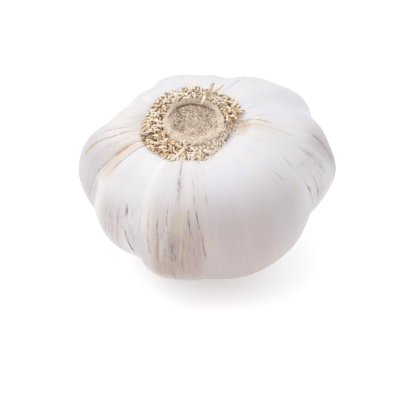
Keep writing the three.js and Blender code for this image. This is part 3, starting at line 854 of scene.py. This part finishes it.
def plate_material():
    g = material_graph("dry_plate")
    spot, swirl = g.attribute("spot", "Vector"), g.attribute("swirl", "Vector")
    place, rear = g.attribute("place"), g.attribute("rear")
    mottle = g.noise(spot, 0.55, 3.0, 0.6)
    grit = g.noise(spot, 4.0, 3.0, 0.7)
    specks = g.noise(spot, 4.6, 2.0, 0.6)
    arcs = g.noise(swirl, 3.4, 3.0, 0.65)
    drift = g.times(g.math("MULTIPLY_ADD", rear, -0.65, 1.0), g.math("MULTIPLY_ADD", mottle, 1.5, -0.75))
    wander = g.math("ADD", g.math("ADD", place, drift), g.math("MULTIPLY_ADD", grit, 0.8, -0.4))

    # The dish: brown, darkest at its left and right, crossed by pale grains that lie in arcs.
    dish = g.mix(g.ramp(wander, 0.3, 0.8), rgb(228, 204, 180), rgb(206, 178, 152))
    dish = g.mix(g.times(g.attribute("shade"), 0.62), dish, rgb(138, 108, 88))
    dish = g.mix(g.ramp(g.noise(swirl, 1.5, 3.0, 0.7), 0.48, 0.62, 0, 0.5), dish, rgb(134, 102, 82))
    dish = g.mix(g.ramp(arcs, 0.47, 0.56, 0, 0.8), dish, rgb(116, 85, 66))
    dish = g.mix(g.ramp(grit, 0.49, 0.58, 0, 1.0), dish, rgb(252, 236, 214))

    # The rim: cream, speckled light and dark, and a broken dark line round the far side of the dish: painted
    # shadow at the foot of the far rim.
    rim = g.mix(g.ramp(mottle, 0.38, 0.62), rgb(252, 234, 210), rgb(246, 228, 214))
    rim = g.mix(g.times(rear, 0.5), rim, rgb(200, 176, 152))
    rim = g.mix(g.ramp(specks, 0.52, 0.6, 0, 0.65), rim, rgb(184, 150, 122))
    rim = g.mix(g.ramp(grit, 0.54, 0.62, 0, 0.8), rim, rgb(254, 244, 230))
    colour = g.mix(g.ramp(wander, 0.7, 1.25), dish, rim)
    line = g.times(g.ramp(place, 0.9, 0.98), g.ramp(place, 1.1, 1.02))
    line = g.times(line, g.times(g.ramp(rear, 0.3, 1.0), g.ramp(mottle, 0.3, 0.5)))
    colour = g.mix(g.times(line, 0.8), colour, rgb(110, 78, 56))
    # darker specks towards the plate's outer edge: the plate's own specks, deepened as painted shade where
    # the roots meet it
    edge = g.times(g.ramp(place, 1.7, 1.95, 0, 0.6), g.ramp(specks, 0.42, 0.56))
    colour = g.mix(edge, colour, rgb(150, 114, 84))
    # a dark band behind the top of the back rim: painted shadow under the ridge of roots there
    crest_shadow = g.times(g.ramp(place, 1.62, 1.72), g.times(rear, g.ramp(mottle, 0.56, 0.42)))
    colour = g.mix(g.times(crest_shadow, 0.8), colour, rgb(116, 96, 72))
    normal = g.bump(grit, 0.28 * MM, 0.9)
    normal = g.bump(arcs, 0.2 * MM, 0.7, normal)
    return g.finish(colour, 0.85, normal, Specular_IOR_Level=0.25)


# ---- roots
ROOT_RINGS = 11
ROOT_SIDES = 7
ROOT_BASE = 14.7
ROOT_TOP = 16.3
PILE_SLOPE = 0.8  # the crown of roots rises at this slope from its outer edge
PILE_HEIGHT = 1.7  # or more steeply where the ring is narrow, to reach this height at the plate
OVERHANG = 0.15  # share of a root's reach past the ring's edge that is kept
# azimuth and outer radius of the ring of roots: widest at the right rear, narrowest at the front right
RING_REACH = [
    (0, 9.0), (10, 9.9), (19, 11.4), (24, 12.6), (32, 13.2), (42, 12.9), (57, 12.5), (73, 13.0), (90, 13.2),
    (103, 12.9), (116, 12.6), (131, 11.9), (150, 10.9), (165, 10.8), (179, 11.0), (189, 10.9), (203, 11.9),
    (231, 12.6), (247, 12.7), (259, 11.3), (272, 10.8), (283, 11.4), (292, 10.0), (311, 8.8), (335, 8.7),
    (350, 8.7), (360, 9.0),
]
# Kinds of root in the ring. Columns: how many; places of the bases, from 0 at the plate to 1 at the ring's
# edge; rise in degrees; length and thickness in mm; height over width; how pointed the tip is; spread of the
# headings in degrees; how far the tip comes down to the skin, from 0 to 1; 1 where wider parts of the ring
# have more of them, or 0; share that is dark; tint, below 0 for paler; azimuths that they keep to; height of
# the bases in mm.
ROOT_KINDS = {
    "rootlets_rim": (130, (-0.12, 0.04), (4, 40), (1.0, 2.0), 0.24, 0.5, 0.7, 75, 0.1, 0, 0.08),
    "rootlets_inner": (175, (-0.1, 0.15), (8, 60), (0.9, 2.0), 0.31, 0.5, 0.8, 60, 0.1, 0, 0.05),
    "rootlets_middle": (245, (0.06, 0.6), (-2, 55), (1.6, 3.0), 0.31, 0.5, 0.8, 48, 0.4, 1, 0.08),
    "rootlets_outer": (245, (0.38, 0.86), (-8, 28), (1.3, 2.6), 0.27, 0.5, 0.9, 36, 0.85, 1, 0.04),
    "rootlets_flat": (175, (0.08, 0.85), (-5, 50), (1.2, 2.4), 0.49, 0.22, 0.85, 60, 0.45, 1, 0, -0.15),
    "rootlets_edge": (
        105, (-0.15, 0.35), (-30, 15), (1.4, 2.4), 0.38, 0.4, 0.8, 40, 0.8, 1, 0, -0.1, (275, 362), 15.1,
    ),
}
DARK_TINT = 1.4
# Hairs that run out over the skin at the right: azimuth, radius, heading, length, thickness.
HAIRS = [
    (9, 10.2, -10, 2.6, 0.1), (6, 9.8, 8, 3.2, 0.11), (3, 9.8, -6, 3.4, 0.09), (0, 9.8, 6, 3.8, 0.08),
    (357, 9.6, -16, 3.2, 0.08), (354, 9.6, 14, 3.8, 0.09), (350, 9.4, -4, 3.4, 0.08),
    (346, 9.2, 8, 2.8, 0.07),
]


def single(azimuth, radius, heading, length, thick, **more):
    """A root placed by its base's azimuth and radius; heading is in degrees from straight outward."""
    return dict(azimuth=azimuth, radius=radius, heading=heading, length=length, thick=thick, **more)


SINGLE_ROOTS = [
    # sticks that stand up at the back, and a stub before them that lies over the plate's rim
    single(70, 10.4, -80, 3.5, 0.46, rise=68, point=0.1, kink=2, top=18.6, free=True),
    single(68.8, 10.7, -80, 3.6, 0.28, rise=68, point=0.1, kink=2, top=18.7, tint=1.3, free=True),
    single(66, 11.0, -74, 3.7, 0.36, rise=50, point=0.1, kink=2, top=18.6, tint=0.3, free=True),
    single(68, 9.2, 176, 2.9, 0.4, rise=10, fall=26, flat=0.6, point=0.6, curl=8, kink=3, bottom=16.0,
           top=16.8, tint=0.35, free=True),
    # a dark root along the left rear, and a thin one on the plate
    single(158, 9.1, -104, 5.0, 0.24, rise=2, fall=4, flat=0.6, kink=3, bottom=15.25, top=15.4, tint=1.3,
           free=True),
    single(261, 6.2, 4, 2.4, 0.17, bottom=15.35, kink=4, tint=0.2, free=True),
    *(single(*hair, point=0.7, kink=4, settle=1.0, tint=0.2, free=True) for hair in HAIRS),
    # the right rear corner, and thin roots below it
    single(34, 10.0, -18, 3.2, 0.34, rise=18, fall=16, curl=20),
    single(28, 10.2, 6, 3.1, 0.33, rise=14, fall=14, curl=-25),
    single(22, 10.0, 18, 2.8, 0.31, rise=12, fall=12, curl=10),
    single(357, 9.4, 10, 3.0, 0.16, point=0.6, curl=-20, settle=1.0),
    single(352, 9.4, -14, 2.6, 0.15, point=0.6, curl=25, settle=1.0),
    # a long stub and flat tips in front
    single(266, 8.3, -55, 4.6, 0.36, rise=10, fall=22, point=0.5, curl=8, kink=3, settle=0.7, bottom=15.4,
           top=16.2, tint=0.2, free=True),
    single(287, 9.8, 4, 3.2, 0.52, flat=0.4, point=0.95, settle=1.0),
    single(276, 9.6, -10, 2.6, 0.46, flat=0.4, point=0.95, settle=1.0),
    single(296, 9.4, 12, 2.4, 0.44, flat=0.4, point=0.95, settle=1.0),
    # tips that leave the ring at the left
    single(248, 10.4, 10, 2.6, 0.34, curl=30, settle=1.0),
    single(219, 10.4, -20, 2.6, 0.32, curl=30, settle=1.0),
    single(196, 10.2, 12, 2.4, 0.28, curl=-30, settle=1.0),
    single(178, 9.8, 0, 2.4, 0.26, curl=20, settle=1.0),
]
WISPS = 90
WISP_RINGS = 8
WISP_SIDES = 4


def crown_height(radius):
    """Height of the skin round the root crown."""
    near_root = spline(OUTLINE, np.linspace(0, 0.3, 60))
    return np.interp(radius, near_root[:, 0], near_root[:, 1])


def ring_reach(azimuth):
    return np.interp(azimuth % 360, *zip(*RING_REACH))


def centre_line(rings, azimuth, radius, heading, length, thick, flat, rise=0.0, fall=0.0, curl=0.0,
                settle=0.0, bottom=ROOT_BASE, top=ROOT_TOP, kink=15.0, free=False):
    """Middle of a dry root: it leaves its base at a heading and a rise, then kinks and bends to the skin."""
    t = np.linspace(0, 1, rings)
    step = length / (rings - 1)
    kinks = np.cumsum(rng.normal(0, kink, (2, rings)), 1)
    side = np.radians(heading + curl * t + kinks[0])
    up = np.radians(rise - fall * t + 0.6 * kinks[1])
    out = radius + step * np.cumsum(np.cos(up) * np.cos(side))
    across = step * np.cumsum(np.cos(up) * np.sin(side))
    height = bottom + step * np.cumsum(np.sin(up))
    reach = np.hypot(out, across)
    limit = max(ring_reach(azimuth), radius + 0.3)
    if not free:
        reach = np.where(reach > limit, limit + OVERHANG * (reach - limit), reach)
    resting = crown_height(reach) + 0.8 * thick * flat
    height = np.maximum(height + settle * t ** 1.5 * (resting - height), resting)
    height = np.where(height > top, top + 0.3 * (height - top), height)
    if not free:
        slope = max(PILE_SLOPE, PILE_HEIGHT / max(limit - plate_reach(azimuth), 0.8))
        height = np.minimum(height, resting + 0.15 + slope * np.maximum(limit - reach, 0))
    path = polar(reach, math.radians(azimuth) + np.arctan2(across, out), height)
    path[:, 1] *= np.interp(reach, (8, 12.5), (CROWN_OVAL, 1.03))
    return path


def tube(path, girth, sides, flat):
    """Rings of points round a centre line, ridged and a little flat, closed by two end points."""
    forward = np.gradient(path, axis=0)
    forward /= np.linalg.norm(forward, axis=1)[:, None]
    side = np.cross(forward, (0.25, 0.1, 1.0))
    side /= np.maximum(np.linalg.norm(side, axis=1), 0.1)[:, None]
    over = np.cross(side, forward)
    around = np.arange(sides) * 2 * math.pi / sides
    t = np.linspace(0, 1, len(path))[:, None]
    ring = girth[:, None] * (1 + 0.2 * np.cos(3 * around + 5 * t) + 0.1 * np.cos(2 * around - 7 * t))
    points = path[:, None] + side[:, None] * (ring * np.cos(around))[..., None]
    points = points + over[:, None] * (ring * flat * np.sin(around))[..., None]
    return np.concatenate([points.reshape(-1, 3), [path[0], path[-1]]])


def golden(azimuth):
    """How golden the roots are at an azimuth: most at the left and the right of the crown."""
    left = max(0.0, math.cos(math.radians(azimuth - 200))) ** 1.5
    right = max(0.0, math.cos(math.radians(turn_between(azimuth, 20) * 2)))
    return max(left, 0.9 * right)


def make_rootlets(name, plan, rings=ROOT_RINGS, sides=ROOT_SIDES):
    """One mesh of dry roots. Each item of the plan is like one of SINGLE_ROOTS."""
    points, faces, tone, reach = [], [], [], []
    t = np.linspace(0, 1, rings)
    for root in plan:
        shape = {"flat": 0.8, **root}
        point = shape.pop("point", 0.3)
        tint = shape.pop("tint", 0.0)
        wrinkles = 1 + 0.1 * np.cumsum(rng.normal(0, 0.5, rings)) * t
        girth = shape["thick"] * np.clip(wrinkles, 0.6, 1.4) * (1 - point * t ** 2)
        girth = girth * (1 - 0.4 * (1 - t) ** 4)
        path = centre_line(rings, **shape)
        points.append(tube(path, girth, sides, shape["flat"] * rng.uniform(0.75, 1.1)))
        faces += closed_faces(rings, sides, (len(points) - 1) * len(points[0]))
        gold = golden(shape["azimuth"])
        shade = np.clip(rng.normal(0.2 + 0.4 * gold, 0.2 + 0.16 * gold), 0, 1)
        tone.append(np.full(rings * sides + 2, shade + tint))
        reach.append(np.concatenate([np.repeat(t, sides), [0, 1.3]]))
    every = np.concatenate(points)
    values = {"tone": np.concatenate(tone), "reach": np.concatenate(reach), "spot": every}
    return make_mesh(name, placed(every), faces, values)


def ring_plan(count, start, rise, length, thick, flat, point, spread, settle, crowd, dark, tint=0.0,
              arc=(0, 360), bottom=ROOT_BASE):
    """The roots of one kind, from its row in ROOT_KINDS."""
    degrees = np.linspace(*arc, 361)
    share = np.cumsum((ring_reach(degrees) - plate_reach(degrees)) ** crowd)
    for place in range(count):
        azimuth = np.interp((place + rng.uniform(0, 1)) / count, share / share[-1], degrees)
        side = plate_reach(azimuth) + 0.2
        width = ring_reach(azimuth) - side
        side -= 0.6 * max(0.0, 1.6 - width)
        lift = rng.uniform(*rise) * min(1, 0.25 + width / 3)
        yield dict(
            radius=side + (ring_reach(azimuth) - side) * rng.uniform(*start),
            heading=rng.normal(0, spread),
            length=rng.uniform(*length) * min(1.05, 0.4 + 0.18 * width),
            thick=thick * rng.uniform(0.65, 1.2),
            curl=rng.normal(0, 45),
            tint=DARK_TINT if rng.random() < dark else tint,
            azimuth=azimuth, rise=lift, fall=1.1 * lift, flat=flat, point=point, settle=settle, bottom=bottom,
        )


def wisp_plan():
    """Thin fibres, mostly at the left and right of the crown, where they run out over the skin."""
    for _ in range(WISPS):
        azimuth = rng.choice([rng.normal(190, 20), rng.normal(2, 16), rng.uniform(0, 360)])
        yield dict(
            radius=ring_reach(azimuth) - rng.uniform(0.3, 1.8),
            heading=rng.normal(0, 24),
            rise=rng.uniform(-5, 20),
            length=rng.uniform(0.9, 2.4),
            thick=rng.uniform(0.05, 0.1),
            curl=rng.normal(0, 30),
            azimuth=azimuth, fall=5, point=0.8, settle=0.8, tint=-0.1, free=True,
        )


MAT_AROUND = 220
MAT_ROWS = 26
# place, height: place runs from 0 at the plate to 1 at the mat's outer edge
MAT_SECTION = np.array([
    (-0.1, 13.75), (-0.08, 14.6), (0.3, 14.6), (0.6, 14.5), (0.9, 14.3), (1.0, 14.1), (0.85, 13.95),
    (0.5, 13.4),
])
MAT_NOISE = [(0.18, 1.9, 0), (0.1, 4.5, 0)]


def make_mat():
    """The low dark mat that the rootlets stand in; its dark brown also stands in for the shade in the gaps
    between them.
    """
    shape = (MAT_ROWS, MAT_AROUND)
    degrees = np.arange(MAT_AROUND) * 360 / MAT_AROUND
    share = np.linspace(0, 1, MAT_ROWS)[:, None]
    angle = np.radians(np.broadcast_to(degrees, shape))
    place, height = np.moveaxis(spline(MAT_SECTION, np.broadcast_to(share, shape)), -1, 0)
    side = plate_reach(degrees) + 0.2
    radius = side + place * np.maximum(ring_reach(degrees) - 1.5 - side, 0.3)
    spot = polar(radius, angle, height)
    top = smoothstep(np.minimum(height, crown_height(radius) + 0.3), 14.2, 14.6)
    spot[..., 2] += top * rough(spot, MAT_NOISE)
    spot[..., 1] *= CROWN_OVAL
    last_row = (MAT_ROWS - 1) * MAT_AROUND
    here = np.arange(MAT_AROUND)
    beside = (here + 1) % MAT_AROUND
    faces = grid_faces(*shape) + np.stack([last_row + here, here, beside, last_row + beside], -1).tolist()
    gold = np.array([golden(azimuth) for azimuth in degrees])
    values = {"spot": spot.reshape(-1, 3), "gold": np.broadcast_to(gold, shape).ravel()}
    return make_mesh("root_mat", placed(spot), faces, values)


def root_material():
    g = material_graph("dry_root")
    spot, tone, reach = g.attribute("spot", "Vector"), g.attribute("tone"), g.attribute("reach")
    mottle = g.noise(spot, 2.2, 3.0, 0.65)
    clusters = g.noise(spot, 0.35, 2.0, 0.5)
    golden_share = g.math("ADD", tone, g.math("MULTIPLY_ADD", clusters, 0.8, -0.4))
    colour = g.mix(g.ramp(golden_share, 0.0, 0.3), rgb(255, 241, 230), rgb(255, 241, 216))
    colour = g.mix(g.ramp(golden_share, 0.35, 1.0), colour, rgb(234, 192, 142))
    colour = g.mix(g.ramp(golden_share, 1.15, 1.5), colour, rgb(144, 112, 80))
    colour = g.mix(g.ramp(mottle, 0.54, 0.7, 0, 0.5), colour, rgb(200, 152, 108))
    # each root darker towards its base: painted shade where the roots crowd together
    colour = g.mix(g.ramp(reach, 0.28, 0.0, 0, 0.8), colour, rgb(128, 80, 44))
    colour = g.mix(g.ramp(reach, 1.0, 1.25, 0, 0.5), colour, rgb(150, 112, 76))
    normal = g.bump(g.noise(spot, 5.0, 3.0, 0.6), 0.12 * MM, 0.8)
    return g.finish(colour, 0.75, normal, Specular_IOR_Level=0.3, Subsurface_Weight=0.05, Subsurface_Scale=MM)


def mat_and_gap_shade_material():
    g = material_graph("root_mat")
    spot = g.attribute("spot", "Vector")
    grit = g.noise(spot, 2.5, 4.0, 0.7)
    # dark brown, darker in the golden sectors: partly the roots' own colour, partly painted shade for the
    # gaps between the rootlets
    colour = g.mix(g.ramp(grit, 0.35, 0.6), rgb(146, 98, 56), rgb(238, 202, 156))
    colour = g.mix(g.ramp(g.attribute("gold"), 0.1, 0.9, 0, 0.6), colour, rgb(108, 72, 38))
    return g.finish(colour, 0.9, g.bump(grit, 0.3 * MM), Specular_IOR_Level=0.2)


# ---- camera, floor and light
ELEVATION = math.radians(28)
CAMERA_DISTANCE = 312.5
AIM = np.array([1.9, -2.0, -6.3])  # millimetres from the bulb's own middle
LENS = 120
SENSOR = 36
NEAREST_SEEN = 0.01  # metres
FLOOR_SIZE = 6  # metres
FLOOR_COLOUR = (0.8, 0.8, 0.8, 1)
FLOOR_GLOW = 0.36
SKY_COLOUR = (0.98, 0.985, 1.0, 1)
SKY_AT_HORIZON = 0.36
SKY_OVERHEAD = 1.24
KEY_STRENGTH = 0.75
KEY_SPREAD = math.radians(60)
KEY_FROM = Vector((-0.45, 0.2, 0.87))


def make_floor():
    bpy.ops.mesh.primitive_plane_add(size=FLOOR_SIZE)
    floor = bpy.context.object
    floor.name = "floor"
    g = material_graph("floor")
    floor.data.materials.append(g.finish(FLOOR_COLOUR, 0.9, Specular_IOR_Level=0.0,
                                         Emission_Color=(1, 1, 1, 1), Emission_Strength=FLOOR_GLOW))


def make_light():
    """A soft sky, brighter overhead, and a broad key light from the upper left."""
    world = bpy.data.worlds.new("studio")
    bpy.context.scene.world = world
    g = Graph(world)
    direction = g.node("ShaderNodeTexCoord", output="Generated")
    upward = g.node("ShaderNodeSeparateXYZ", direction, output="Z")
    strength = g.node("ShaderNodeMapRange", upward, named={"To Min": SKY_AT_HORIZON, "To Max": SKY_OVERHEAD})
    g.fill(g.tree.nodes["Background"], {"Color": SKY_COLOUR, "Strength": strength})

    sun = bpy.data.lights.new("key", "SUN")
    sun.energy = KEY_STRENGTH
    sun.angle = KEY_SPREAD
    key = bpy.data.objects.new("key", sun)
    key.rotation_euler = KEY_FROM.to_track_quat("Z", "Y").to_euler()
    bpy.context.scene.collection.objects.link(key)
    bpy.context.scene.view_settings.view_transform = "Standard"


def make_camera():
    aim = Vector((AIM + SHIFT) * MM)
    away = Vector((0, -math.cos(ELEVATION), math.sin(ELEVATION)))
    lens = bpy.data.cameras.new("camera")
    lens.lens = LENS
    lens.sensor_width = SENSOR
    lens.clip_start = NEAREST_SEEN
    camera = bpy.data.objects.new("camera", lens)
    camera.location = aim + away * CAMERA_DISTANCE * MM
    camera.rotation_euler = away.to_track_quat("Z", "Y").to_euler()
    bpy.context.scene.collection.objects.link(camera)
    bpy.context.scene.camera = camera


make_camera()
make_floor()
make_light()
add_piece(make_skin(), skin_material("whole_skin", 0.12), "bulb")
paper = skin_material("loose_skin", 0.0)
for name, flake in FLAKES.items():
    add_piece(make_flake(name, *flake), paper, "bulb")
add_piece(make_plate(), plate_material(), "basal_plate")
roots = root_material()
for name, kind in ROOT_KINDS.items():
    add_piece(make_rootlets(name, ring_plan(*kind)), roots, "roots")
add_piece(make_rootlets("rootlets_stray", SINGLE_ROOTS), roots, "roots")
add_piece(make_rootlets("root_fibres", wisp_plan(), WISP_RINGS, WISP_SIDES), roots, "roots")
add_piece(make_mat(), mat_and_gap_shade_material(), "roots")
